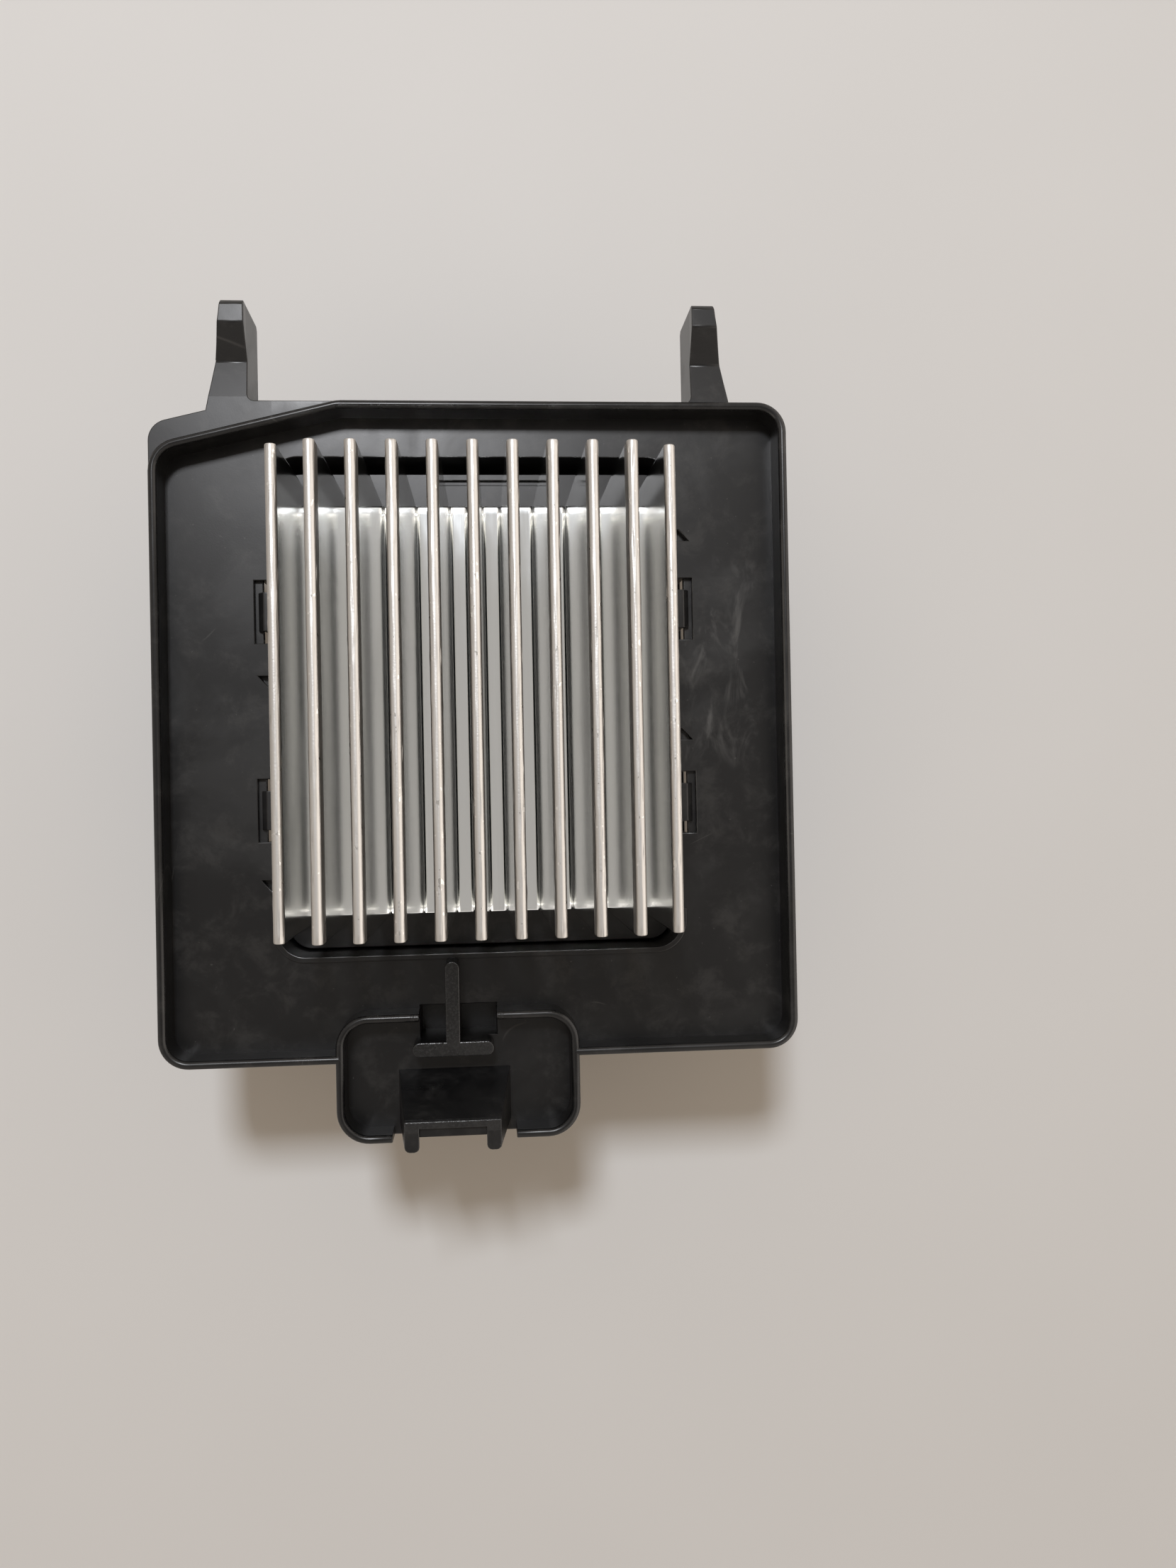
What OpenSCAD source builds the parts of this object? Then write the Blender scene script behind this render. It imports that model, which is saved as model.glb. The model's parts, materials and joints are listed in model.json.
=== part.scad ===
// Blower motor control module for a vehicle heater box.
// The flat back rests at z = 0, the cooling fins point up along +Z and the two hooks point along +Y.
// The origin is below the centre of the heat sink. All sizes are in millimetres.

/* [Front plate] */
// Width of the plate
plate_w = 90; // [84:1:104]
// Length of the plate without the latch pocket
plate_l = 93; // [90:1:104]
// Distance from the plate's hook edge to the centre of the heat sink
plate_reach = 43.2; // [42:0.2:46]
// Thickness of the plate floor
plate_t = 2; // [1.6:0.2:3]
// Outer radius of the plate corners
plate_corner_r = 4.2; // [3:0.2:6]
// Height of the rim above the plate floor
rim_h = 5; // [4.4:0.1:6]
// Wall thickness of the rim
rim_t = 1.2; // [1:0.1:1.6]
// Length that the slanting rim takes from the hook edge
slant_w = 26; // [20:1:30]
// Length that the slanting rim takes from the side edge
slant_l = 6.8; // [5.4:0.2:8]
// Outer radius of the bends at both ends of the slanting rim
slant_r = 4.6; // [3:0.2:5]
// Depth of the corner ledge below the top of the rim
ledge_drop = 0.8; // [0.8:0.1:2]
// Distance from the side of the plate to the start of the ledge's slanting edge
ledge_cut = 13.5; // [12:0.5:16]
// Outer radius of the ledge's corner
ledge_corner_r = 3; // [2:0.2:3.6]
// Wall left round the hollow below the corner ledge
ledge_wall = 1.4; // [1.2:0.1:1.6]
// Height of the small bead along the lower end of the opening
bead_h = 0.4; // [0.2:0.1:0.8]
// Width of that bead
bead_w = 0.8; // [0.6:0.1:1.2]
// Thickness of the ribs below the plate
under_rib_t = 1.2; // [0.8:0.1:1.6]
// Depth of the ribs below the plate
under_rib_d = 4; // [2:0.5:6]

/* [Latch pocket] */
// Width of the pocket over its walls
pocket_w = 34.2; // [32:0.2:38]
// Length of the pocket over its walls
pocket_l = 18; // [17:0.5:22]
// Sideways place of the pocket's centre
pocket_x = -3.7; // [-8:0.1:4]
// Distance that the pocket stands out past the plate
pocket_out = 11.3; // [10:0.1:12]
// Outer radius of the pocket corners
pocket_corner_r = 4.6; // [3:0.2:5]
// Gap in the pocket wall on the fin side
inner_gap = 10.9; // [9:0.1:11.4]
// Gap in the pocket wall on the outer side
outer_gap = 17.4; // [17.2:0.2:19]
// Thickness of the stem of the T-shaped stop
stop_stem_t = 2; // [1.4:0.1:2.4]
// Width of the bar of the stop
stop_bar_w = 11.4; // [9:0.1:13]
// Thickness of the bar of the stop
stop_bar_t = 2; // [1.6:0.1:2.4]
// Distance from the pocket's inner wall to the bar of the stop
stop_bar_in = 2.9; // [2.3:0.1:3.1]
// Depth of the well beside the stem, below the plate floor
well_d = 5; // [3:0.5:6]
// Wall of the well
well_wall = 1.2; // [1:0.1:1.6]

/* [Latch] */
// Sideways place of the latch and the stop from the pocket's centre
latch_shift = -0.7; // [-0.8:0.1:0.6]
// Width of the latch at its root
latch_root_w = 16.2; // [15:0.2:16.8]
// Width of the latch at its top
latch_top_w = 13; // [11:0.2:14]
// Height of the latch above the plate floor
latch_h = 13.1; // [11:0.1:16]
// Distance that the latch leans outwards
latch_lean = 4.6; // [2:0.2:5]
// Thickness of the latch's back wall
latch_web_t = 1; // [0.9:0.1:1.4]
// Thickness of the latch's two side walls
latch_side_t = 2; // [1.6:0.1:2.4]
// Distance that the side walls stand out past the back wall at the top
latch_side_out = 3.1; // [2.4:0.1:4]
// Radius at the outer edges of the side walls
latch_side_r = 0.7; // [0.4:0.1:0.7]
// Distance from the outer face of the pocket to the back wall's root
latch_root_in = 9.6; // [9:0.1:10]
// Depth of the catch between the side walls
catch_out = 1.3; // [1:0.1:1.6]
// Height of the catch
catch_h = 4.6; // [3:0.2:6]

/* [Hooks] */
// Distance between the inner faces of the two hooks
hook_gap = 62.6; // [60:0.2:66]
// Length of the hooks past the plate
hook_l = 13.4; // [11:0.2:15]
// Width of a hook at its root
hook_root_w = 5.5; // [4.6:0.1:6]
// Width of a hook at its tip
hook_tip_w = 3.2; // [2.4:0.1:3.8]
// Depth of the hooks below the rim
hook_d = 9.6; // [8:0.1:11]
// Rise of the hook's tip above the rim
hook_rise = 1.3; // [0.8:0.1:2]
// Dip at the foot of the hook's ramp
hook_dip = 0.7; // [0.4:0.1:1.2]
// Radius where a hook's inner face meets the plate
hook_root_r = 0.9; // [0.5:0.1:1.4]

/* [Heat sink] */
// Length of the extrusion
sink_l = 59.4; // [56:0.2:60]
// Width of the base
base_w = 56.4; // [54:0.2:58]
// Thickness of the base
base_t = 5; // [4.6:0.1:6]
// Number of fins
fin_count = 11; // [9:1:11]
// Distance from fin to fin
fin_pitch = 4.78; // [4.4:0.02:4.9]
// Thickness of a fin at its tip
fin_tip_t = 1.4; // [1:0.1:1.8]
// Thickness of a fin at its root
fin_root_t = 2.1; // [1.8:0.1:2.6]
// Height of the fins above the base
fin_h = 35.8; // [30:0.2:40]
// How much lower the two outer fins are
outer_fin_drop = 2.1; // [0:0.1:4]
// Radius at the root of the fins
fin_root_r = 0.6; // [0.3:0.1:0.8]

/* [Rear housing] */
// Height of the plate's underside above the flat back
plate_z = 36.3; // [36:0.1:40]
// Depth of the top of the heat sink's base below the plate floor
sink_drop = 2.3; // [1.8:0.1:2.6]
// Space beside the heat sink's base
base_gap = 0.4; // [0.3:0.1:0.8]
// Length of the raised ledge at the hook end of the heat sink
upper_end = 5.1; // [4.6:0.1:5.6]
// Length of the low deck at the latch end of the heat sink
lower_end = 5.3; // [4.8:0.1:5.8]
// Wall thickness of the rear housing
housing_wall = 2.2; // [1.8:0.1:2.6]
// Outer radius of the housing's upright edges
housing_corner_r = 3.4; // [3:0.1:4]
// Thickness of the shelf below the heat sink's base
shelf_t = 1.8; // [1.4:0.1:2.2]
// Width of the shelf's window
shelf_window_w = 49; // [46:0.5:50]
// Length of the shelf's window
shelf_window_l = 47; // [44:0.5:47]
// Depth of the raised ledge below the top of the heat sink's base
raised_ledge_drop = 1; // [0.6:0.1:2]
// Thickness of the flange that meets the skirt
flange_t = 1.7; // [1.4:0.1:2.4]
// Height of the skirt below the plate
skirt_h = 11.3; // [10:0.1:12]
// Wall thickness of the skirt
skirt_t = 1.5; // [1.2:0.1:1.8]
// Space between the housing and the skirt along the sides
side_gap = 0.4; // [0.3:0.1:0.6]
// Open slot between the housing and the skirt at the hook end
upper_slot = 1.6; // [1.2:0.1:2.4]
// Space between the housing and the skirt at the latch end
lower_slot = 0.3; // [0.2:0.1:0.6]
// Depth of the ribs on the housing's sides
side_rib_d = 1.2; // [0.8:0.1:1.6]

/* [Snap arms] */
// Distance of each snap arm from the middle
snap_y = 14.2; // [12:0.2:15]
// Width of a snap arm
snap_w = 5.6; // [4:0.2:6]
// Thickness of a snap arm
snap_t = 1.3; // [1:0.1:1.5]
// Height of the nose
nose_h = 1.1; // [0.8:0.1:1.4]
// Distance that the nose stands out
nose_out = 0.8; // [0.5:0.1:1]
// Space round a snap arm in its window
snap_gap = 1.7; // [1:0.1:2.2]
// Space in front of the nose
nose_gap = 0.5; // [0.3:0.1:0.8]
// Length of the small notches beside the opening
notch_l = 1.6; // [1:0.1:2.4]
// Depth of the notches
notch_d = 1.4; // [0.8:0.1:1.4]

/* [Back cover] */
// Thickness of the back cover
cover_t = 2.2; // [2:0.1:3]
// Height of the locating lip inside the housing
cover_lip_h = 2.2; // [1.6:0.1:3]
// Thickness of the locating lip
cover_lip_t = 1.2; // [1:0.1:1.4]
// Space between the lip and the housing wall
cover_gap = 0.15; // [0.1:0.05:0.3]
// Width of the cover's snap tongues
tongue_w = 6; // [4:0.5:8]
// Height of the tongues above the lip
tongue_h = 3.6; // [3:0.1:4.5]
// Chamfer round the edge of the cover
cover_chamfer = 0.8; // [0.4:0.1:1.2]

/* [Circuit board] */
// Thickness of the board
board_t = 1.6; // [1:0.1:2]
// Space between the board and the housing wall
board_gap = 0.5; // [0.3:0.1:1]
// Height of the posts that hold the board off the shelf
post_h = 7.6; // [7.4:0.1:8.4]
// Radius of the posts
post_r = 3; // [2.4:0.1:3.2]
// Distance from the board's side edge to its screws
board_screw_in_x = 3.9; // [3.6:0.1:4.4]
// Distance from the board's end edge to its screws
board_screw_in_y = 3.3; // [3.2:0.1:3.8]

/* [Screws] */
// Radius of the heat sink and clamp screws
sink_screw_r = 1.45; // [1.2:0.05:1.6]
// Length of the heat sink screws below the head
sink_screw_l = 5.2; // [4:0.1:5.4]
// Radius of the board screws
board_screw_r = 1.1; // [0.9:0.05:1.25]
// Length of the board screws below the head
board_screw_l = 6; // [4:0.2:6.6]
// Space round a screw in its thread
thread_gap = 0.05; // [0:0.01:0.1]
// Space round a screw in a clearance hole
hole_gap = 0.25; // [0.15:0.05:0.4]

/* [Power parts] */
// Width of a power transistor's package
package_w = 10.2; // [9:0.1:10.8]
// Length of the moulded body
package_l = 9.2; // [8:0.1:10]
// Thickness of the moulded body
package_t = 4.5; // [4:0.1:4.8]
// Length of the metal tab
tab_l = 6.3; // [5:0.1:7]
// Thickness of the metal tab
tab_t = 1.3; // [1:0.1:1.6]
// Distance between neighbouring packages
package_pitch = 15; // [14.4:0.1:15.6]
// Thickness of the insulating pad
pad_t = 0.3; // [0.2:0.05:0.5]
// Thickness of the clamp spring
spring_t = 0.8; // [0.6:0.1:1]
// Width of the clamp spring
spring_w = 7; // [6:0.2:8]

/* [Board parts] */
// Distance of the bulk capacitors from the side of the board
capacitor_in = 8.9; // [8.5:0.1:9.3]
// Place of the first bulk capacitor along the board
capacitor_1_y = 5; // [4.5:0.5:5.5]
// Distance between the bulk capacitors
capacitor_pitch = 14; // [13.5:0.5:14.5]
// Radius of the bulk capacitors
capacitor_r = 6.25; // [5:0.25:6.5]
// Height of the bulk capacitors
capacitor_h = 14; // [10:0.5:15]
// Radius of the choke's ring
choke_r = 6.6; // [6.2:0.1:7]
// Radius of the choke's core section
choke_core_r = 2.8; // [2.2:0.1:3]
// Radius of the choke's wire
wire_r = 0.45; // [0.3:0.05:0.5]
// Number of turns on the choke
choke_turns = 13; // [8:1:13]
// Sideways place of the choke
choke_x = 1.5; // [1:0.1:1.8]
// Place of the choke along the board
choke_y = 15; // [14.6:0.1:15.4]
// Width of the snubber capacitor
snubber_w = 12; // [10:0.5:12.5]
// Length of the snubber capacitor
snubber_l = 5.6; // [5:0.2:6]
// Height of the snubber capacitor
snubber_h = 10; // [8:0.5:12]
// Sideways place of the snubber capacitor
snubber_x = 17.6; // [17.4:0.1:17.8]
// Place of the snubber capacitor along the board
snubber_y = 22.4; // [22:0.1:22.6]
// Distance from one ceramic capacitor to the next
ceramic_pitch = 3.4; // [2.6:0.1:3.6]
// Place of the row of ceramic capacitors along the board
ceramic_y = 27; // [26.4:0.1:27.4]
// Distance from one chip resistor to the next
resistor_pitch = 3; // [2.2:0.1:3]
// Place of the row of chip resistors along the board
resistor_y = 29.6; // [29:0.1:30]

/* [Connectors] */
// Distance of the power connector from the latch end of the housing
power_in = 17.5; // [17:0.1:18]
// Distance of the signal connector from the latch end of the housing
signal_in = 16.5; // [16:0.1:17.5]
// Width of the power connector over its shroud
power_w = 30; // [29:0.5:31]
// Height of the power connector over its shroud
power_l = 15; // [13:0.5:16]
// Width of the signal connector over its shroud
signal_w = 13.4; // [12:0.2:14]
// Height of the signal connector over its shroud
signal_l = 11; // [10:0.5:12]
// Wall thickness of the shrouds
shroud_t = 1.4; // [1:0.1:1.8]
// Depth of the sockets
socket_d = 11.8; // [10:0.2:12.5]
// Distance of the sockets' mouths above the flat back
mouth_z = 1.2; // [0.6:0.1:2]
// Space round a shroud in the back cover
shroud_gap = 0.3; // [0.2:0.1:0.5]
// Width of a power blade
blade_w = 4.8; // [4:0.1:5.4]
// Thickness of the blades and pins
blade_t = 0.8; // [0.6:0.1:1]
// Distance from blade to blade
blade_pitch = 6.6; // [6:0.1:6.8]
// Width of a signal pin
pin_w = 1.5; // [1:0.1:1.8]
// Distance from pin to pin
pin_pitch = 3; // [2.5:0.1:3.2]
// Distance of the blade tips inside the mouth
blade_recess = 4.6; // [4.5:0.1:6]

/* [Hidden] */
$fn = 48;
over = 0.5;

floor_z = plate_z + plate_t;
rim_z = floor_z + rim_h;
plate_top = plate_reach;
plate_bottom = plate_reach - plate_l;
plate_mid = (plate_top + plate_bottom) / 2;
plate_side = plate_w / 2 - rim_t / 2;

slant_low = [-plate_side, plate_top - slant_l];
slant_high = [-plate_w / 2 + slant_w, plate_top - rim_t / 2];
slant = atan2(slant_high[1] - slant_low[1], slant_high[0] - slant_low[0]);
slant_way = [cos(slant), sin(slant)];
bend_r = slant_r - rim_t / 2;
low_cut = bend_r * tan((90 - slant) / 2);
low_bend = slant_low + [bend_r, -low_cut];
high_bend_x = slant_high[0] + bend_r * tan(slant / 2);
ledge_z = rim_z - ledge_drop;

sink_z = floor_z - sink_drop;
base_z = sink_z - base_t;
housing_w = base_w + 2 * base_gap;
housing_top = sink_l / 2 + upper_end;
housing_bottom = -sink_l / 2 - lower_end;
housing_l = housing_top - housing_bottom;
housing_mid = (housing_top + housing_bottom) / 2;
cavity_w = housing_w - 2 * housing_wall;
cavity_l = housing_l - 2 * housing_wall;
shelf_z = base_z - shelf_t;

opening_w = housing_w + 2 * side_gap;
opening_top = housing_top + upper_slot;
opening_bottom = housing_bottom - lower_slot;
opening_l = opening_top - opening_bottom;
opening_mid = (opening_top + opening_bottom) / 2;
opening_r = housing_corner_r + side_gap;
skirt_z = plate_z - skirt_h;

pocket_bottom = plate_bottom - pocket_out;
pocket_top = pocket_bottom + pocket_l;
pocket_mid = (pocket_top + pocket_bottom) / 2;
stop_bar_top = pocket_top - rim_t - stop_bar_in;
latch_x = pocket_x + latch_shift;

arm_in = opening_w / 2;
arm_out = arm_in + snap_t;
nose_x = arm_out + nose_out;
window_x = nose_x + nose_gap;
step_z = floor_z - nose_h + 0.2;

board_w = cavity_w - 2 * board_gap;
board_l = cavity_l - 2 * board_gap;
board_top = shelf_z - post_h;
board_z = board_top - board_t;
board_screw_x = board_w / 2 - board_screw_in_x;
board_screw_y = board_l / 2 - board_screw_in_y;

package_y = -4;
clamp_y = package_y;
clamp_x = package_pitch / 2;
package_top = base_z - pad_t;
package_z = package_top - package_t;
sink_screw_x = 12;
sink_screw_y = sink_l / 2 - 3.1;

power_x = -8;
power_y = housing_bottom + power_in;
signal_x = 17.4;
signal_y = housing_bottom + signal_in;
socket_z = mouth_z + socket_d;

plastic = [0.09, 0.09, 0.1];
board_green = [0.05, 0.25, 0.12];
bare_metal = [0.78, 0.79, 0.8];

// Flat outlines and small shared shapes

module rounded_rect(w, l, r) {
    square([w - 2 * r, l], center = true);
    square([w, l - 2 * r], center = true);
    for (sx = [-1, 1], sy = [-1, 1])
        translate([sx * (w / 2 - r), sy * (l / 2 - r)])
            circle(r);
}

module block(size, place) {
    translate([place[0] - size[0] / 2, place[1] - size[1] / 2, place[2]])
        cube(size);
}

// A straight-sided block between a lower and an upper outline with as many corners, both counter-clockwise.
module loft_block(low, low_z, high, high_z) {
    count = len(low);
    points = [for (p = low) [p[0], p[1], low_z], for (p = high) [p[0], p[1], high_z]];
    walls = [for (i = [0 : count - 1]) let (k = (i + 1) % count) [i, count + i, count + k, k]];
    polyhedron(points, concat([[for (i = [0 : count - 1]) i]], [[for (i = [count - 1 : -1 : 0]) count + i]], walls));
}

// A pan-head screw whose head sits below z = 0 and whose shank points up.
module pan_screw(r, l) {
    head_r = 1.85 * r;
    head_h = 1.35 * r;
    slot_w = 0.45 * r;
    difference() {
        union() {
            cylinder(r = r, h = l);
            translate([0, 0, -head_h])
                cylinder(r1 = head_r - 0.3 * r, r2 = head_r, h = 0.5 * head_h);
            translate([0, 0, -0.5 * head_h])
                cylinder(r = head_r, h = 0.5 * head_h);
        }
        for (turn = [0, 90])
            rotate(turn)
                translate([-0.8 * r, -slot_w / 2, -head_h - over])
                    cube([1.6 * r, slot_w, 0.6 * head_h + over]);
    }
}

// Front housing

// The rim's section: an upright wall from the plate's underside, with a full round on top.
module rim_profile() {
    translate([-rim_t / 2, -plate_t])
        square([rim_t, plate_t + rim_h - rim_t / 2]);
    translate([0, rim_h - rim_t / 2])
        circle(rim_t / 2);
}

module rim_run(from, to) {
    span = to - from;
    translate([from[0], from[1], floor_z])
        rotate(atan2(span[1], span[0]))
            rotate([90, 0, 90])
                linear_extrude(norm(span))
                    rim_profile();
}

// A bend of the rim. The radius is that of its outer face.
module rim_corner(centre, r, start) {
    translate([centre[0], centre[1], floor_z])
        rotate(start)
            rotate_extrude(angle = 90)
                translate([r - rim_t / 2, 0])
                    rim_profile();
}

// The slanting rim with both its bends, in short straight pieces. Its ends lie just inside the straight walls.
bend_steps = 7;
function arc_points(centre, r, from, to, steps) =
    [for (i = [0 : steps]) let (turn = from + (to - from) * i / steps) centre + r * [cos(turn), sin(turn)]];
function left_of(from, to) = [from[1] - to[1], to[0] - from[0]] / norm(to - from);
function across(path, i) =
    let (before = left_of(path[max(i, 1) - 1], path[max(i, 1)]), last = len(path) - 1,
         after = left_of(path[min(i, last - 1)], path[min(i, last - 1) + 1]), both = before + after)
        both * 2 / (both * both);

module slanting_rim() {
    inside = 0.3;
    half = rim_t / 2 - 0.01;
    round_z = rim_z - rim_t / 2;
    path = [[-plate_side, low_bend[1] - inside], each arc_points(low_bend, bend_r, 180, 90 + slant, bend_steps),
            each arc_points([high_bend_x, plate_top - rim_t / 2 - bend_r], bend_r, 90 + slant, 90, 2),
            [high_bend_x + inside, plate_top - rim_t / 2]];
    section = [[half, plate_z], for (turn = [0 : 18 : 180]) [half * cos(turn), round_z + half * sin(turn)],
               [-half, plate_z]];
    count = len(section);
    last = len(path) - 1;
    points = [for (i = [0 : last], p = section)
        let (place = path[i] + p[0] * across(path, i)) [place[0], place[1], p[1]]];
    walls = [for (i = [0 : last - 1], k = [0 : count - 1])
        let (a = i * count + k, b = i * count + (k + 1) % count)
            for (face = [[a, a + count, b + count], [a, b + count, b]]) face];
    start = [for (k = [0 : count - 1]) k];
    end = [for (k = [count - 1 : -1 : 0]) last * count + k];
    polyhedron(points, [start, end, each walls]);
}

module main_rim() {
    side = plate_side;
    low = plate_bottom + rim_t / 2;
    high = plate_top - rim_t / 2;
    turn_x = plate_w / 2 - plate_corner_r;
    turn_low = plate_bottom + plate_corner_r;
    turn_high = plate_top - plate_corner_r;
    rim_run([-side, turn_low], [-side, low_bend[1]]);
    slanting_rim();
    rim_run([high_bend_x, high], [turn_x, high]);
    rim_run([side, turn_low], [side, turn_high]);
    rim_run([-turn_x, low], [pocket_x - pocket_w / 2 + rim_t / 2, low]);
    rim_run([pocket_x + pocket_w / 2 - rim_t / 2, low], [turn_x, low]);
    rim_corner([turn_x, turn_high], plate_corner_r, 0);
    rim_corner([-turn_x, turn_low], plate_corner_r, 180);
    rim_corner([turn_x, turn_low], plate_corner_r, 270);
}

module pocket_rim() {
    half = pocket_w / 2 - rim_t / 2;
    turn = pocket_w / 2 - pocket_corner_r;
    high = pocket_top - rim_t / 2;
    low = pocket_bottom + rim_t / 2;
    turn_high = pocket_top - pocket_corner_r;
    turn_low = pocket_bottom + pocket_corner_r;
    for (s = [-1, 1]) {
        rim_run([pocket_x + s * half, turn_low], [pocket_x + s * half, turn_high]);
        rim_run([pocket_x + s * inner_gap / 2, high], [pocket_x + s * turn, high]);
        rim_run([latch_x + s * outer_gap / 2, low], [pocket_x + s * turn, low]);
    }
    rim_corner([pocket_x + turn, turn_high], pocket_corner_r, 0);
    rim_corner([pocket_x - turn, turn_high], pocket_corner_r, 90);
    rim_corner([pocket_x - turn, turn_low], pocket_corner_r, 180);
    rim_corner([pocket_x + turn, turn_low], pocket_corner_r, 270);
}

// The floor reaches to the middle of the rim, and to the pocket's edge in the gap of its wall.
module floor_outline() {
    difference() {
        translate([0, plate_mid])
            rounded_rect(plate_w - rim_t, plate_l - rim_t, plate_corner_r - rim_t / 2);
        translate(slant_low)
            rotate(slant)
                translate([-slant_l, 0])
                    square([slant_w + 2 * slant_l, 2 * slant_l]);
    }
    translate([pocket_x, pocket_mid])
        rounded_rect(pocket_w - rim_t, pocket_l - rim_t, pocket_corner_r - rim_t / 2);
    translate([latch_x - (outer_gap + rim_t) / 2, pocket_bottom])
        square([outer_gap + rim_t, rim_t]);
}

// The ledge starts inside the slanting rim's wall, and its own edge runs beside it to a rounded corner.
module ledge_outline() {
    left = -plate_w / 2;
    corner = [left, plate_top - ledge_cut * tan(slant)];
    cut = ledge_corner_r * tan((90 - slant) / 2);
    centre = corner + [ledge_corner_r, -cut];
    inner_r = bend_r + rim_t / 4;
    start_y = low_bend[1] - over;
    end_x = high_bend_x + over;
    polygon([each arc_points(low_bend, inner_r, 90 + slant, 180, 3), [low_bend[0] - inner_r, start_y],
             [left, start_y], each arc_points(centre, ledge_corner_r, 180, 90 + slant, 8),
             [left + ledge_cut, plate_top], [end_x, plate_top], [end_x, plate_top - rim_t / 2]]);
}

module corner_ledge() {
    band = (slant_w - ledge_cut) * sin(slant) + rim_t / 2 * cos(slant);
    hollow_start = low_cut;
    difference() {
        translate([0, 0, plate_z])
            linear_extrude(ledge_z - plate_z)
                ledge_outline();
        translate([slant_low[0], slant_low[1], plate_z - over])
            rotate(slant)
                translate([hollow_start, rim_t / 2, 0])
                    cube([ledge_cut - hollow_start, band - rim_t / 2 - ledge_wall,
                          ledge_z - ledge_wall - plate_z + over]);
    }
}

// The width of a hook at a place along it: a gentle curve that widens towards the plate.
function hook_w(y) = hook_tip_w + (hook_root_w - hook_tip_w) * pow((plate_top + hook_l - y) / hook_l, 1.2);

// One hook on the +X side: its plan and its side view, cut from one another. Its root reaches into the plate.
module hook(root_in) {
    root_y = plate_top - root_in;
    tip_y = plate_top + hook_l;
    low = rim_z - hook_d;
    high = rim_z + hook_rise;
    foot_z = ledge_z - hook_dip;
    ramp_foot = plate_top + 0.42 * hook_l;
    ramp_head = tip_y - 3.2;
    bevel = 0.6;
    inner = hook_gap / 2;
    steps = 8;
    outer = [for (i = [0 : steps]) let (y = root_y + (tip_y - root_y) * i / steps) [inner + hook_w(y), y]];
    corner = arc_points([inner - hook_root_r, plate_top + hook_root_r], hook_root_r, 0, -90, 3);
    intersection() {
        translate([0, 0, low - over])
            linear_extrude(high - low + 2 * over)
                polygon([[inner - hook_root_r, root_y], each outer, [inner, tip_y], each corner]);
        translate([inner - 2 * hook_root_r, 0, 0])
            rotate([90, 0, 90])
                linear_extrude(hook_w(root_y) + 3 * hook_root_r)
                    polygon([[root_y, low], [tip_y - bevel, low], [tip_y, low + bevel], [tip_y, high - bevel],
                             [tip_y - bevel, high], [ramp_head, high], [ramp_foot, foot_z],
                             [plate_top + 0.5, ledge_z], [root_y, ledge_z]]);
    }
}

// The T-shaped stop behind the latch. Its bar is parallel to the pocket's walls.
module stop() {
    stem_top = opening_bottom - 0.6;
    bar_r = stop_bar_t / 2;
    bar_mid = stop_bar_top - bar_r;
    translate([0, 0, floor_z])
        linear_extrude(rim_h) {
            translate([latch_x - stop_stem_t / 2, bar_mid])
                square([stop_stem_t, stem_top - stop_stem_t / 2 - bar_mid]);
            translate([latch_x, stem_top - stop_stem_t / 2])
                circle(d = stop_stem_t);
            translate([latch_x - stop_bar_w / 2 + bar_r, bar_mid - bar_r])
                square([stop_bar_w - 2 * bar_r, stop_bar_t]);
            for (s = [-1, 1])
                translate([latch_x + s * (stop_bar_w / 2 - bar_r), bar_mid])
                    circle(bar_r);
        }
}

// The outline of a side wall of the latch, with its outer edges rounded.
function side_outline(out_x, out_y, in_y) =
    let (r = latch_side_r, in_x = out_x - latch_side_t)
        [each arc_points([in_x + r, out_y + r], r, 180, 270, 3),
         each arc_points([out_x - r, out_y + r], r, 270, 360, 3), [out_x, in_y], [in_x, in_y]];

// The latch: a leaning channel with a back wall, two side walls and a catch between them.
module latch() {
    root_y = pocket_bottom + latch_root_in;
    top_y = root_y - latch_lean;
    low_half = latch_root_w / 2;
    high_half = latch_top_w / 2;
    side_low = pocket_bottom + rim_t;
    side_high = top_y - latch_web_t - latch_side_out;
    low_z = floor_z - plate_t / 2;
    high_z = floor_z + latch_h;
    share = catch_h / latch_h;
    catch_half = high_half + share * (low_half - high_half) - latch_side_t / 2;
    catch_y = top_y + share * latch_lean - latch_web_t;
    catch_z = high_z - catch_h;
    translate([latch_x, 0, 0]) {
        loft_block([[-low_half, root_y - latch_web_t], [low_half, root_y - latch_web_t], [low_half, root_y],
                    [-low_half, root_y]], low_z,
                   [[-high_half, top_y - latch_web_t], [high_half, top_y - latch_web_t], [high_half, top_y],
                    [-high_half, top_y]], high_z);
        for (s = [0, 1])
            mirror([s, 0, 0])
                loft_block(side_outline(low_half, side_low, root_y), low_z,
                           side_outline(high_half, side_high, top_y), high_z);
        loft_block([[-catch_half, catch_y - 0.1], [catch_half, catch_y - 0.1], [catch_half, catch_y + 0.6],
                    [-catch_half, catch_y + 0.6]], catch_z,
                   [[-high_half + 0.5, top_y - latch_web_t - catch_out],
                    [high_half - 0.5, top_y - latch_web_t - catch_out], [high_half - 0.5, top_y - latch_web_t / 2],
                    [-high_half + 0.5, top_y - latch_web_t / 2]], high_z - 0.8);
    }
}

// The closed well on both sides of the stop's stem, below the floor.
module well(margin) {
    top = pocket_top + 0.4 + margin;
    low = stop_bar_top - margin;
    translate([pocket_x - inner_gap / 2 - margin, low])
        square([inner_gap + 2 * margin, top - low]);
}

module skirt() {
    translate([0, opening_mid, skirt_z])
        linear_extrude(skirt_h)
            difference() {
                rounded_rect(opening_w + 2 * skirt_t, opening_l + 2 * skirt_t, opening_r + skirt_t);
                rounded_rect(opening_w, opening_l, opening_r);
            }
}

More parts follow.
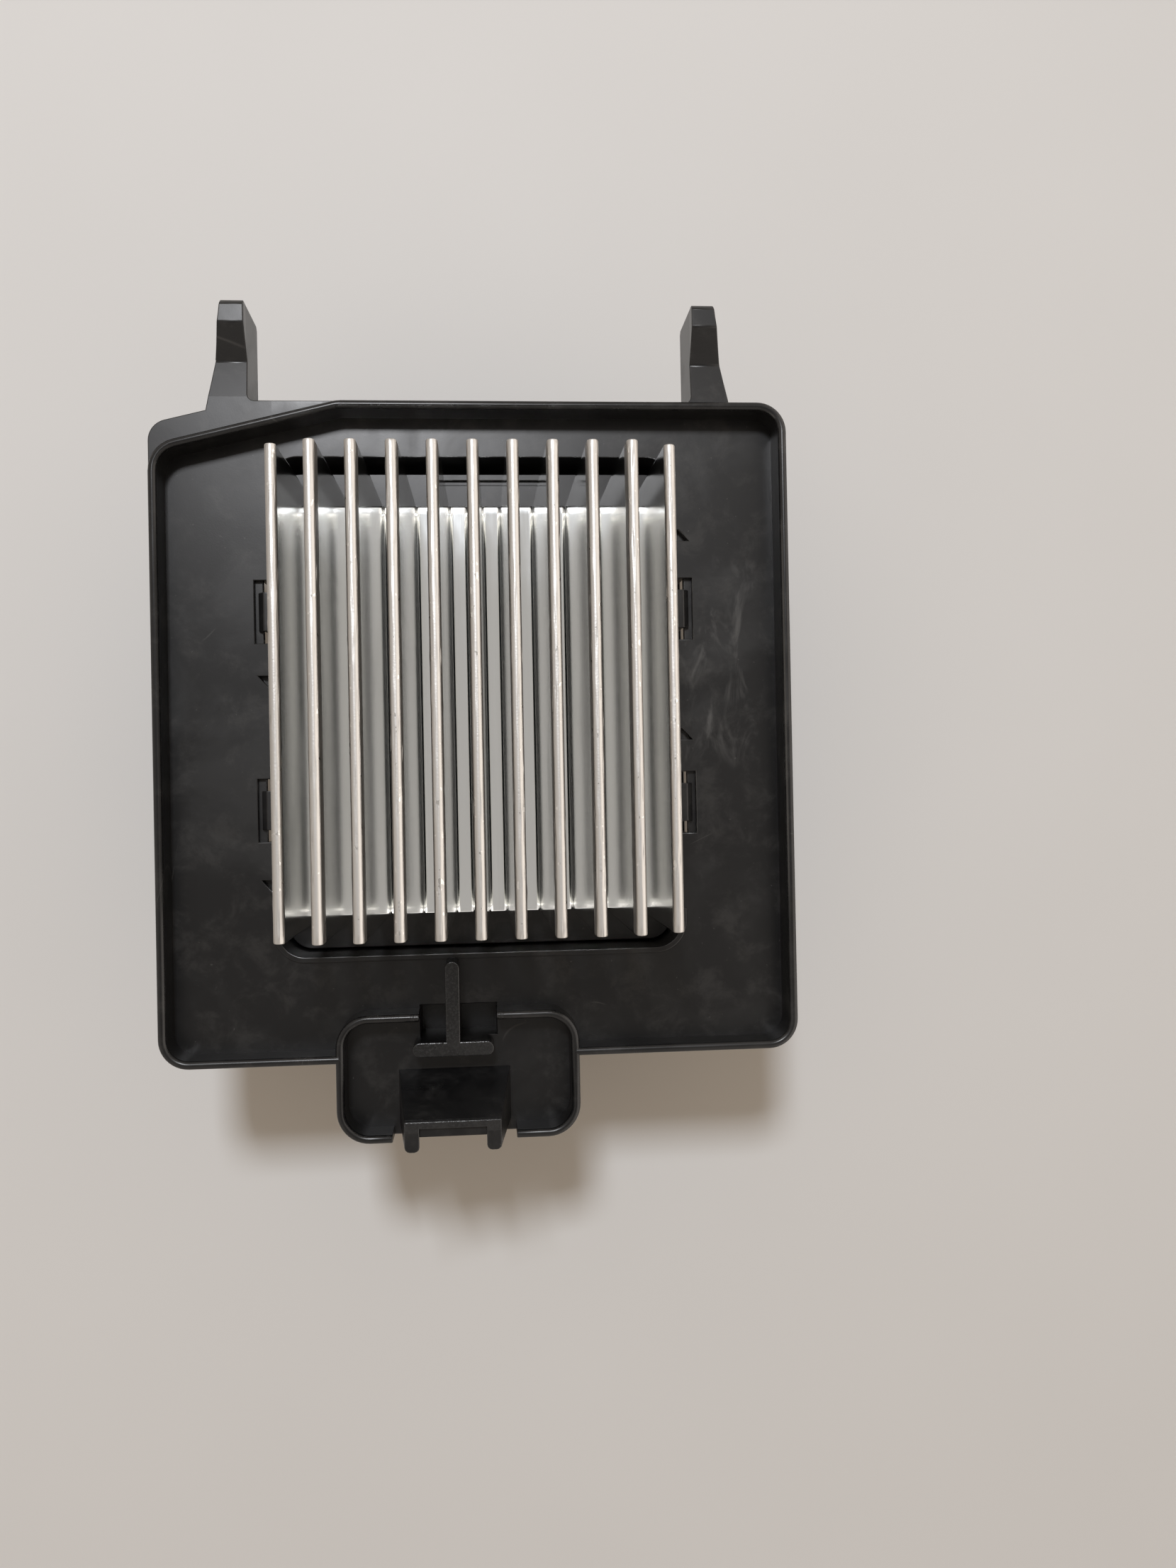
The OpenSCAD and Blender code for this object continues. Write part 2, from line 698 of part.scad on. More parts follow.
module under_ribs() {
    out = opening_w / 2 + skirt_t / 2;
    side_l = plate_w / 2 - out - 1;
    low = plate_z - under_rib_d;
    for (s = [-1, 1], y = [-26, 0, 26])
        translate([s > 0 ? out : -out - side_l, y - under_rib_t / 2, low])
            cube([side_l, under_rib_t, under_rib_d + over]);
    for (x = [-22, 16])
        translate([x - under_rib_t / 2, plate_bottom + 1, low])
            cube([under_rib_t, opening_bottom - skirt_t / 2 - plate_bottom - 1, under_rib_d + over]);
}

module snap_windows() {
    for (sx = [-1, 1], sy = [-1, 1]) {
        block([2 * (arm_out - opening_w / 4 + 0.2), snap_w + 2 * snap_gap, plate_t + skirt_h + 2 * over],
              [sx * opening_w / 4, sy * snap_y, skirt_z - over]);
        block([2 * (window_x - opening_w / 4), snap_w + 2 * snap_gap, floor_z - step_z + over],
              [sx * opening_w / 4, sy * snap_y, step_z]);
    }
}

module side_notches() {
    for (turn = [0, 180], y = [4.2, -25])
        rotate(turn)
            translate([-opening_w / 2 - 2.2, y - notch_l / 2, floor_z - notch_d])
                linear_extrude(notch_d + over)
                    polygon([[0, notch_l], [2.6, notch_l], [2.6, 0], [1.4, 0]]);
}

module opening_bead() {
    keep_y = housing_bottom + lower_end;
    intersection() {
        translate([0, opening_mid, floor_z])
            linear_extrude(bead_h)
                difference() {
                    rounded_rect(opening_w + 2 * bead_w, opening_l + 2 * bead_w, opening_r + bead_w);
                    rounded_rect(opening_w, opening_l, opening_r);
                }
        block([opening_w + 4 * bead_w, lower_end + 2 * bead_w, bead_h],
              [0, keep_y - lower_end / 2 - bead_w, floor_z]);
    }
}

module front_housing() {
    color(plastic) {
        difference() {
            union() {
                translate([0, 0, plate_z])
                    linear_extrude(plate_t)
                        floor_outline();
                skirt();
                under_ribs();
                translate([0, 0, plate_z - well_d])
                    linear_extrude(well_d + over)
                        well(well_wall);
            }
            translate([0, opening_mid, plate_z - over])
                linear_extrude(plate_t + 2 * over)
                    rounded_rect(opening_w, opening_l, opening_r);
            snap_windows();
            side_notches();
            translate([0, 0, plate_z - well_d + well_wall])
                linear_extrude(well_d + plate_t)
                    difference() {
                        well(0);
                        translate([latch_x - stop_stem_t / 2, pocket_bottom])
                            square([stop_stem_t, pocket_l * 2]);
                    }
        }
        main_rim();
        pocket_rim();
        corner_ledge();
        opening_bead();
        stop();
        latch();
        hook(rim_t / 2);
        mirror([1, 0, 0])
            hook((hook_gap / 2 + hook_root_w - plate_w / 2 + ledge_cut) * tan(slant) + over);
    }
}

// Heat sink

module fin(h) {
    tip_r = fin_tip_t / 2;
    polygon([[-fin_root_t / 2, -over], [fin_root_t / 2, -over], [fin_root_t / 2, 0], [tip_r, h - tip_r],
             [-tip_r, h - tip_r], [-fin_root_t / 2, 0]]);
    translate([0, h - tip_r])
        circle(tip_r);
    for (s = [-1, 1])
        difference() {
            translate([s > 0 ? 0 : -fin_root_t / 2 - fin_root_r, -over])
                square([fin_root_t / 2 + fin_root_r, fin_root_r + over]);
            translate([s * (fin_root_t / 2 + fin_root_r), fin_root_r])
                circle(fin_root_r);
        }
}

module sink_profile() {
    translate([-base_w / 2, -base_t])
        square([base_w, base_t]);
    for (i = [0 : fin_count - 1]) {
        outer = i == 0 || i == fin_count - 1;
        translate([(i - (fin_count - 1) / 2) * fin_pitch, 0])
            fin(outer ? fin_h - outer_fin_drop : fin_h);
    }
}

module heat_sink() {
    thread_r = sink_screw_r + thread_gap;
    thread_l = base_t - 1;
    color(bare_metal)
        difference() {
            translate([0, sink_l / 2, sink_z])
                rotate([90, 0, 0])
                    linear_extrude(sink_l)
                        sink_profile();
            for (sx = [-1, 1], sy = [-1, 1])
                translate([sx * sink_screw_x, sy * sink_screw_y, base_z - over])
                    cylinder(r = thread_r, h = thread_l + over);
            for (s = [-1, 1])
                translate([s * clamp_x, clamp_y, base_z - over])
                    cylinder(r = thread_r, h = thread_l + over);
        }
}

// Rear housing

module housing_outline(margin) {
    translate([0, housing_mid])
        rounded_rect(housing_w - 2 * margin, housing_l - 2 * margin, max(0.4, housing_corner_r - margin));
}

module snap_arm() {
    foot_z = skirt_z - flange_t;
    arm_top = floor_z + 0.2;
    nose_z = step_z;
    translate([0, snap_w / 2, 0])
        rotate([90, 0, 0])
            linear_extrude(snap_w)
                polygon([[arm_in, foot_z], [arm_out, foot_z], [arm_out, nose_z], [nose_x, nose_z],
                         [nose_x, nose_z + 0.4 * nose_h], [arm_out, arm_top], [arm_in, arm_top]]);
}

module side_ribs() {
    rib_low = cover_t + 4;
    for (s = [-1, 1], y = [-27, 0, 27])
        translate([s * housing_w / 2 - side_rib_d, y - 0.7, rib_low])
            cube([2 * side_rib_d, 1.4, skirt_z - flange_t - rib_low + over]);
}

// Places of the cover's snap tongues: a point on the wall and the direction that the wall faces.
tongue_places = [for (s = [-1, 1]) [s * cavity_w / 2, 14, s > 0 ? 0 : 180],
                 for (s = [-1, 1]) [s * cavity_w / 2, -14, s > 0 ? 0 : 180],
                 for (s = [-1, 1]) [s * 14, housing_mid + cavity_l / 2, 90],
                 for (s = [-1, 1]) [s * 14, housing_mid - cavity_l / 2, 270]];
tongue_nose = 0.9;
tongue_z = cover_t + cover_lip_h + tongue_h - 2.2;

module tongue_holes() {
    for (p = tongue_places)
        translate([p[0], p[1], tongue_z - cover_gap])
            rotate(p[2])
                translate([-over, -tongue_w / 2 - cover_gap, 0])
                    cube([housing_wall + 2 * over, tongue_w + 2 * cover_gap, 1.6 + 2 * cover_gap]);
}

module raised_ledge() {
    ledge_in = sink_l / 2 + 0.25;
    top_z = sink_z - raised_ledge_drop;
    intersection() {
        translate([0, 0, base_z - over])
            linear_extrude(top_z - base_z + over)
                housing_outline(0);
        difference() {
            block([housing_w, housing_top - ledge_in, top_z - base_z + over],
                  [0, (housing_top + ledge_in) / 2, base_z - over]);
            block([14.7, 0.6, 1], [3, housing_top - 1.3, top_z - 0.5]);
        }
    }
}

module rear_housing() {
    color(plastic) {
        difference() {
            union() {
                translate([0, 0, cover_t])
                    linear_extrude(base_z - cover_t)
                        housing_outline(0);
                translate([0, opening_mid, skirt_z - flange_t])
                    linear_extrude(flange_t)
                        rounded_rect(opening_w + 4 * skirt_t, opening_l + 4 * skirt_t, opening_r + 2 * skirt_t);
                side_ribs();
            }
            translate([0, 0, cover_t - over])
                linear_extrude(shelf_z - cover_t + over)
                    housing_outline(housing_wall);
            translate([0, 0, shelf_z - over])
                linear_extrude(shelf_t + 2 * over)
                    rounded_rect(shelf_window_w, shelf_window_l, 2);
            for (sx = [-1, 1], sy = [-1, 1])
                translate([sx * sink_screw_x, sy * sink_screw_y, shelf_z - over])
                    cylinder(r = sink_screw_r + hole_gap, h = shelf_t + 2 * over);
            tongue_holes();
        }
        raised_ledge();
        for (sx = [-1, 1], sy = [-1, 1]) {
            translate([sx * board_screw_x, housing_mid + sy * board_screw_y, board_top])
                difference() {
                    cylinder(r = post_r, h = post_h);
                    translate([0, 0, -over])
                        cylinder(r = board_screw_r + thread_gap, h = post_h - 0.6 + over);
                }
            translate([0, sy * snap_y, 0])
                mirror([sx < 0 ? 1 : 0, 0, 0])
                    snap_arm();
        }
    }
}

// Back cover

module socket_cutouts() {
    block([power_w + 2 * shroud_gap, power_l + 2 * shroud_gap, cover_t + cover_lip_h + 2 * over],
          [power_x, power_y, -over]);
    block([signal_w + 2 * shroud_gap, signal_l + 2 * shroud_gap, cover_t + cover_lip_h + 2 * over],
          [signal_x, signal_y, -over]);
}

module cover_tongue() {
    foot_z = cover_t + cover_lip_h - over;
    top_z = cover_t + cover_lip_h + tongue_h;
    out = -cover_gap;
    back = out - cover_lip_t;
    translate([0, tongue_w / 2, 0])
        rotate([90, 0, 0])
            linear_extrude(tongue_w)
                polygon([[back, foot_z], [out, foot_z], [out, tongue_z], [out + tongue_nose, tongue_z],
                         [out + tongue_nose, tongue_z + 0.6], [out, tongue_z + 1.6], [out, top_z], [back, top_z]]);
}

module back_cover() {
    c = cover_chamfer;
    half_w = housing_w / 2;
    half_l = housing_l / 2;
    color(plastic)
        difference() {
            union() {
                intersection() {
                    linear_extrude(cover_t)
                        housing_outline(0);
                    translate([0, housing_top + over, 0])
                        rotate([90, 0, 0])
                            linear_extrude(housing_l + 2 * over)
                                polygon([[-half_w + c, 0], [half_w - c, 0], [half_w, c], [half_w, cover_t],
                                         [-half_w, cover_t], [-half_w, c]]);
                    translate([-half_w - over, housing_mid, 0])
                        rotate([90, 0, 90])
                            linear_extrude(housing_w + 2 * over)
                                polygon([[-half_l + c, 0], [half_l - c, 0], [half_l, c], [half_l, cover_t],
                                         [-half_l, cover_t], [-half_l, c]]);
                }
                translate([0, 0, cover_t - over])
                    linear_extrude(cover_lip_h + over)
                        difference() {
                            housing_outline(housing_wall + cover_gap);
                            housing_outline(housing_wall + cover_gap + cover_lip_t);
                        }
                for (p = tongue_places)
                    translate([p[0], p[1], 0])
                        rotate(p[2])
                            cover_tongue();
            }
            socket_cutouts();
        }
}

// Circuit board and its fasteners

module circuit_board() {
    color(board_green)
        difference() {
            translate([0, housing_mid, board_z])
                linear_extrude(board_t)
                    rounded_rect(board_w, board_l, 1);
            for (sx = [-1, 1], sy = [-1, 1])
                translate([sx * board_screw_x, housing_mid + sy * board_screw_y, board_z - over])
                    cylinder(r = board_screw_r + hole_gap, h = board_t + 2 * over);
        }
}

module board_screws() {
    color(bare_metal)
        for (sx = [-1, 1], sy = [-1, 1])
            translate([sx * board_screw_x, housing_mid + sy * board_screw_y, board_z])
                pan_screw(board_screw_r, board_screw_l);
}

module sink_screws() {
    color(bare_metal)
        for (sx = [-1, 1], sy = [-1, 1])
            translate([sx * sink_screw_x, sy * sink_screw_y, shelf_z])
                pan_screw(sink_screw_r, sink_screw_l);
}

// Power parts against the heat sink

module insulating_pad() {
    pad_w = 2 * package_pitch + package_w + 2;
    pad_l = package_l + tab_l + 2;
    color([0.75, 0.72, 0.68])
        difference() {
            block([pad_w, pad_l, pad_t], [0, package_y + tab_l / 2, base_z - pad_t]);
            for (s = [-1, 1])
                translate([s * clamp_x, clamp_y, base_z - pad_t - over])
                    cylinder(r = sink_screw_r + hole_gap, h = pad_t + 2 * over);
        }
}

// A package that lies with its metal tab against the heat sink and its leads bent down to the board.
module power_package(x, lead_count) {
    lead_y = package_y - package_l / 2;
    lead_z = package_top - 2.6;
    lead_pitch = 5.08 / (lead_count - 1);
    lead_w = 0.9;
    lead_t = 0.5;
    lead_out = 3;
    block([package_w, package_l, package_t], [x, package_y, package_z]);
    difference() {
        block([package_w, tab_l + over, tab_t],
              [x, package_y + package_l / 2 + (tab_l - over) / 2, package_top - tab_t]);
        translate([x, package_y + package_l / 2 + 0.55 * tab_l, package_top - tab_t - over])
            cylinder(r = 1.8, h = tab_t + 2 * over);
    }
    for (i = [0 : lead_count - 1]) {
        lead_x = x + i * lead_pitch - 2.54;
        block([lead_w, lead_out + over, lead_t], [lead_x, lead_y - (lead_out - over) / 2, lead_z]);
        block([lead_w, lead_t, lead_z + lead_t - board_top],
              [lead_x, lead_y - lead_out - lead_t / 2, board_top]);
    }
}

module switching_transistor_1() {
    color([0.12, 0.12, 0.13])
        power_package(-package_pitch, 3);
}

module switching_transistor_2() {
    color([0.12, 0.12, 0.13])
        power_package(0, 3);
}

module flyback_diode() {
    color([0.15, 0.14, 0.14])
        power_package(package_pitch, 2);
}

module clamp_spring() {
    strip_w = 2 * package_pitch + package_w - 1;
    color([0.6, 0.62, 0.64])
        difference() {
            union() {
                block([strip_w, spring_w, spring_t], [0, clamp_y, package_z - spring_t]);
                block([strip_w, spring_t, 2.4], [0, clamp_y + spring_w / 2 - spring_t / 2, package_z - 2.4]);
            }
            for (s = [-1, 1])
                translate([s * clamp_x, clamp_y, package_z - spring_t - over])
                    cylinder(r = sink_screw_r + hole_gap, h = spring_t + 2 * over);
        }
}

module clamp_screws() {
    color(bare_metal)
        for (s = [-1, 1])
            translate([s * clamp_x, clamp_y, package_z - spring_t])
                pan_screw(sink_screw_r, spring_t + package_t + pad_t + base_t - 1.6);
}

// Parts on the back of the board, which hang below it

module bulk_capacitor(x, y) {
    r = capacitor_r;
    translate([x, y, board_z - capacitor_h])
        difference() {
            rotate_extrude()
                polygon([[0, 0], [r - 0.8, 0], [r, 0.8], [r, capacitor_h - 2.6], [r - 0.5, capacitor_h - 2],
                         [r, capacitor_h - 1.4], [r, capacitor_h - 0.4], [r - 0.4, capacitor_h], [0, capacitor_h]]);
            for (turn = [0, 90])
                rotate(turn)
                    block([1.3 * r, 0.4, 0.3 + over], [0, 0, -over]);
        }
}

module bulk_capacitor_1() {
    color([0.1, 0.12, 0.2])
        bulk_capacitor(capacitor_in - board_w / 2, capacitor_1_y);
}

module bulk_capacitor_2() {
    color([0.1, 0.12, 0.2])
        bulk_capacitor(capacitor_in - board_w / 2, capacitor_1_y + capacitor_pitch);
}

ring_steps = 12;
winding_r = (choke_core_r + wire_r + 0.03) / cos(180 / ring_steps);
choke_z = board_z - winding_r - wire_r;

module choke_core() {
    color([0.3, 0.31, 0.33])
        translate([choke_x, choke_y, choke_z])
            rotate_extrude()
                translate([choke_r, 0])
                    circle(choke_core_r);
}

// The wire winds round the ring: the ring angle runs over 310 degrees while the section angle turns.
function ring_angle(i) = 25 + 310 * i / (choke_turns * ring_steps);
function section_angle(i) = 90 + 360 * i / ring_steps;
function wire_out(i) = [cos(section_angle(i)) * cos(ring_angle(i)), cos(section_angle(i)) * sin(ring_angle(i)),
                        sin(section_angle(i))];
function wire_point(i) = choke_r * [cos(ring_angle(i)), sin(ring_angle(i)), 0] + winding_r * wire_out(i);
function wire_side(i) = let (along = wire_point(i + 0.5) - wire_point(i - 0.5), side = cross(along, wire_out(i)))
    side / norm(side);

module choke_winding() {
    sides = 6;
    last = choke_turns * ring_steps;
    points = [for (i = [0 : last], k = [0 : sides - 1])
        wire_point(i) + wire_r * (cos(k * 360 / sides) * wire_out(i) + sin(k * 360 / sides) * wire_side(i))];
    walls = [for (i = [0 : last - 1], k = [0 : sides - 1])
        let (a = i * sides + k, b = i * sides + (k + 1) % sides)
            for (face = [[a, b, b + sides], [a, b + sides, a + sides]]) face];
    start = [for (k = [sides - 1 : -1 : 0]) k];
    end = [for (k = [0 : sides - 1]) last * sides + k];
    color([0.72, 0.4, 0.18])
        translate([choke_x, choke_y, choke_z])
            polyhedron(points, concat([start], walls, [end]));
}

module snubber_capacitor() {
    color([0.75, 0.55, 0.15])
        block([snubber_w, snubber_l, snubber_h], [snubber_x, snubber_y, board_z - snubber_h]);
}

module shunt_resistor() {
    color([0.55, 0.5, 0.45]) {
        block([9, 3.6, 0.6], [18.4, 14, board_z - 2.2]);
        for (s = [-1, 1])
            block([1.6, 3.6, 2.2], [18.4 + s * 4.5, 14, board_z - 2.2]);
    }
}

module small_outline(x, y, w, l, lead_count) {
    pitch = 1.27;
    block([w, l, 1.6], [x, y, board_z - 1.75]);
    for (s = [-1, 1], i = [0 : lead_count / 2 - 1])
        block([0.42, 1.5, 0.3 + 0.6], [x + (i - (lead_count / 2 - 1) / 2) * pitch, y + s * (l / 2 + 0.7),
                                       board_z - 0.9]);
}

module controller_chip() {
    color([0.1, 0.1, 0.11])
        small_outline(18, 4.5, 9.6, 3.9, 14);
}

module gate_driver() {
    color([0.1, 0.1, 0.11])
        small_outline(1, -3, 4.9, 3.9, 8);
}

module voltage_regulator() {
    color([0.12, 0.12, 0.12]) {
        block([6.6, 6.1, 2.3], [-10, -5.2, board_z - 2.3]);
        for (s = [-1, 1])
            block([0.9, 2.4, 0.6], [-10 + s * 2.3, -5.2 + 3.6, board_z - 0.6]);
    }
}

module suppressor_diode() {
    color([0.14, 0.14, 0.15]) {
        block([7, 6, 2.3], [18, -6, board_z - 2.4]);
        for (s = [-1, 1])
            block([1.2, 3, 1.4], [18 + s * 3.9, -6, board_z - 1.4]);
    }
}

module ceramic_capacitors() {
    color([0.72, 0.62, 0.48]) {
        for (i = [0 : 3])
            block([2, 1.25, 1.2], [(i - 1.76) * ceramic_pitch, ceramic_y, board_z - 1.2]);
        for (i = [0 : 2])
            block([1.25, 2, 1.2], [8.2, -6 + 3.2 * i, board_z - 1.2]);
    }
}

module chip_resistors() {
    color([0.08, 0.08, 0.09]) {
        for (i = [0 : 4])
            block([1.6, 0.8, 0.5], [12 + 2.9 * i, -0.6, board_z - 0.5]);
        for (i = [0 : 4])
            block([1.6, 0.8, 0.5], [(i - 2.67) * resistor_pitch, resistor_y, board_z - 0.5]);
    }
}

// Connectors

module shroud(x, y, w, l) {
    difference() {
        block([w, l, board_z - mouth_z], [x, y, mouth_z]);
        block([w - 2 * shroud_t, l - 2 * shroud_t, socket_d + over], [x, y, mouth_z - over]);
    }
}

module power_header() {
    gap = thread_gap;
    color([0.13, 0.13, 0.14])
        difference() {
            shroud(power_x, power_y, power_w, power_l);
            for (i = [0 : 3])
                block([blade_w + 2 * gap, blade_t + 2 * gap, board_z - socket_z + 2 * over],
                      [power_x + (i - 1.5) * blade_pitch, power_y, socket_z - over]);
            for (s = [-1, 1])
                block([2, shroud_t + over, 6 + over],
                      [power_x + s * 8, power_y - power_l / 2 + shroud_t / 2, mouth_z - over]);
        }
}

module power_blades() {
    color([0.8, 0.78, 0.7])
        for (i = [0 : 3])
            block([blade_w, blade_t, board_z - mouth_z - blade_recess],
                  [power_x + (i - 1.5) * blade_pitch, power_y, mouth_z + blade_recess]);
}

module signal_header() {
    gap = thread_gap;
    color([0.13, 0.13, 0.14])
        difference() {
            shroud(signal_x, signal_y, signal_w, signal_l);
            for (i = [0 : 2])
                block([pin_w + 2 * gap, blade_t + 2 * gap, board_z - socket_z + 2 * over],
                      [signal_x + (i - 1) * pin_pitch, signal_y, socket_z - over]);
            block([2, shroud_t + over, 6 + over],
                  [signal_x, signal_y - signal_l / 2 + shroud_t / 2, mouth_z - over]);
        }
}

module signal_pins() {
    color([0.8, 0.78, 0.7])
        for (i = [0 : 2])
            block([pin_w, blade_t, board_z - mouth_z - blade_recess],
                  [signal_x + (i - 1) * pin_pitch, signal_y, mouth_z + blade_recess]);
}

front_housing();
heat_sink();
rear_housing();
back_cover();
sink_screws();
circuit_board();
board_screws();
insulating_pad();
switching_transistor_1();
switching_transistor_2();
flyback_diode();
clamp_spring();
clamp_screws();
bulk_capacitor_1();
bulk_capacitor_2();
choke_core();
choke_winding();
snubber_capacitor();
shunt_resistor();
controller_chip();
gate_driver();
voltage_regulator();
suppressor_diode();
ceramic_capacitors();
chip_resistors();
power_header();
power_blades();
signal_header();
signal_pins();
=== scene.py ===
# %% [markdown]
# A blower motor control module from a car's heater box, dressed for rendering.
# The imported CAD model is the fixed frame. It gives the sizes and the places, and this lesson adds what
# a solid model lacks: edges that catch the light, wear, and finishes made from procedural nodes.

# %% Load the frame
import json
import math
import random

import bmesh
import bpy
from mathutils import Matrix, Vector


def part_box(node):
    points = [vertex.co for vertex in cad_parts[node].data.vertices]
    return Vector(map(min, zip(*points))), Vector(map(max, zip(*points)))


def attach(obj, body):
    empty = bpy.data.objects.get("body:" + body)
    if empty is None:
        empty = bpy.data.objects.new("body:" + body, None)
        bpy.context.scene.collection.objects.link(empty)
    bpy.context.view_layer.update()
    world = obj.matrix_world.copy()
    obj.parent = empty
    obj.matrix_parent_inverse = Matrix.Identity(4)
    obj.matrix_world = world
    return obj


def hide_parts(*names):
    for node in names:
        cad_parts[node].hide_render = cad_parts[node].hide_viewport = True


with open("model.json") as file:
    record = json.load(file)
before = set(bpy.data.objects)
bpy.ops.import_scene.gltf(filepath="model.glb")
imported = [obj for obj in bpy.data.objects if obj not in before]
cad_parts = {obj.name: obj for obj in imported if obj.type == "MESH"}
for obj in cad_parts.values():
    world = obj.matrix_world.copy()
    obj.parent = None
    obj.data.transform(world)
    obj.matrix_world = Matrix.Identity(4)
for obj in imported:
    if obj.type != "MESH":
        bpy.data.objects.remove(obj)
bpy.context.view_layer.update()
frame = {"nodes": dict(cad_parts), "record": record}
scene = bpy.context.scene
MM = 0.001

# %% [markdown]
# The picture was taken from about 22 cm above the part's flat back, almost straight down, with a slight
# lean. The camera's three turns and its place were solved from the corners of the plate and the fins'
# ends, so the view has the same near perspective: whatever stands tall leans away from one point.

# %% Camera
LENS_MM = 38.06
SENSOR_MM = 36
CLIP_START = 0.01
TURN_Z, TURN_Y, TURN_X = -0.0198, -0.0819, 0.0061
CAMERA_PLACE = Vector((0.85, -12.1, 219.06)) * MM
camera_data = bpy.data.cameras.new("camera")
camera_data.sensor_fit = "HORIZONTAL"
camera_data.sensor_width = SENSOR_MM
camera_data.lens = LENS_MM
camera_data.clip_start = CLIP_START
camera = bpy.data.objects.new("camera", camera_data)
camera.rotation_mode = "QUATERNION"
camera.location = CAMERA_PLACE
lean = Matrix.Rotation(TURN_Z, 3, "Z") @ Matrix.Rotation(TURN_Y, 3, "Y") @ Matrix.Rotation(TURN_X, 3, "X")
camera.rotation_quaternion = lean.to_quaternion()
scene.collection.objects.link(camera)
scene.camera = camera
scene.view_settings.view_transform = "Standard"
print("camera is", round(CAMERA_PLACE.length * 100, 1), "cm from the part's origin")

# %% [markdown]
# Every finish here is a small node tree on a Principled shader. A few helpers keep the trees short: one
# starts a material, one adds a node and sets its inputs, and one makes a noise pattern that reads Object
# coordinates, in metres, so a pattern keeps its real size and stays on the piece from any side.

# %% Helpers for materials


def start_material(name):
    """A new material, its node tree and its shader."""
    material = bpy.data.materials.new(name)
    material.use_nodes = True
    tree = material.node_tree
    return material, tree, tree.nodes["Principled BSDF"]


def add(tree, kind, inputs=(), **settings):
    """One node, with settings such as its operation, and inputs that are plain values or other sockets."""
    node = tree.nodes.new(kind)
    for key, value in settings.items():
        setattr(node, key, value)
    for key, value in dict(inputs).items():
        if isinstance(value, bpy.types.NodeSocket):
            tree.links.new(value, node.inputs[key])
        else:
            node.inputs[key].default_value = value
    return node


def place_of(tree, stretch=(1, 1, 1)):
    """Object coordinates, scaled."""
    source = add(tree, "ShaderNodeTexCoord").outputs["Object"]
    return add(tree, "ShaderNodeMapping", {"Vector": source, "Scale": stretch}).outputs[0]


def part_of_place(tree, axis):
    """One of the three Object coordinates, with axis 0, 1 or 2."""
    return add(tree, "ShaderNodeSeparateXYZ", {0: place_of(tree)}).outputs[axis]


def cloud(tree, size_mm, stretch=(1, 1, 1), detail=3, roughness=0.5, distortion=0.0):
    """Soft noise from 0 to 1 with features of about size_mm."""
    inputs = {"Vector": place_of(tree, stretch), "Scale": 1 / (size_mm * MM), "Detail": detail,
              "Roughness": roughness, "Distortion": distortion}
    return add(tree, "ShaderNodeTexNoise", inputs).outputs[0]


def spread(tree, value, low, high, to_low=0.0, to_high=1.0, kind="SMOOTHSTEP"):
    """Maps low..high to to_low..to_high and holds it there outside."""
    inputs = {"Value": value, "From Min": low, "From Max": high, "To Min": to_low, "To Max": to_high}
    return add(tree, "ShaderNodeMapRange", inputs, interpolation_type=kind).outputs[0]


def calc(tree, operation, a, b=0.0):
    """One sum on plain values or sockets."""
    return add(tree, "ShaderNodeMath", {0: a, 1: b}, operation=operation).outputs[0]


def mix_colour(tree, factor, a, b):
    """Goes from colour a to colour b as the factor goes from 0 to 1."""
    node = add(tree, "ShaderNodeMix", data_type="RGBA")
    for index, value in ((0, factor), (6, a), (7, b)):
        if isinstance(value, bpy.types.NodeSocket):
            tree.links.new(value, node.inputs[index])
        else:
            node.inputs[index].default_value = value if index == 0 else (*value[:3], 1)
    return node.outputs[2]


def relief(tree, shader, height, depth_mm, before=None):
    """Bump from a height of 0 to 1 that stands for depth_mm."""
    inputs = {"Height": height, "Distance": depth_mm * MM, "Strength": 1.0}
    if before is not None:
        inputs["Normal"] = before
    normal = add(tree, "ShaderNodeBump", inputs).outputs[0]
    tree.links.new(normal, shader.inputs["Normal"])
    return normal


def region(tree, low, high, soft_mm):
    """A mask that is 1 inside a box given in millimetres, with soft sides."""
    mask = None
    for axis in range(3):
        place = part_of_place(tree, axis)
        rise = spread(tree, place, (low[axis] - soft_mm) * MM, low[axis] * MM)
        fall = spread(tree, place, high[axis] * MM, (high[axis] + soft_mm) * MM, 1, 0)
        both = calc(tree, "MULTIPLY", rise, fall)
        mask = both if mask is None else calc(tree, "MULTIPLY", mask, both)
    return mask


def hairlines(tree, size_mm, stretch, width):
    """Thin wandering lines, where a noise passes through its middle value."""
    field = cloud(tree, size_mm, stretch, detail=1, distortion=0.4)
    away = calc(tree, "ABSOLUTE", calc(tree, "SUBTRACT", field, 0.5))
    return spread(tree, away, 0, width, 1, 0)


print("helpers for materials are ready")

# %% [markdown]
# The front and rear housings and the cover share one black plastic. The real plate is satin, with a fine
# grain, cloudy rubbed places, pale smudges right of the fins, and hairline scratches from handling.
# One cloud drives both colour and roughness, as real rubbing does, and a finer one adds the mottled film
# of dust. The tops of the stop and of the latch get a coarser, sparked grain, whose lighter dots are
# partly real grain and partly painted sparkle.

# %% Housing plastic
BLACK = (0.0040, 0.0039, 0.0041)
RUBBED = (0.0085, 0.0083, 0.0082)
DUSTY = (0.075, 0.071, 0.066)
# Lighter grey for the stop and latch tops: partly real sparked grain, partly painted sparkle.
GRAIN_AND_SPARKLE_GREY = (0.02, 0.02, 0.0195)
SMUDGE_BOX_MM = ((31, -6, 37.5), (39, 19, 39.5))
STOP_TOP_BOX_MM = ((-10.2, -50, 43.1), (2.6, -35, 43.6))
LATCH_TOP_BOX_MM = ((-11, -57.5, 50.9), (4, -54, 51.8))
RIM_TOP_FROM_MM = (42.4, 42.8)
RIM_TOP_TO_MM = (43.6, 43.9)
PLASTIC_SPECULAR = 0.34
PLASTIC_TINT = (1.0, 0.95, 0.9, 1.0)


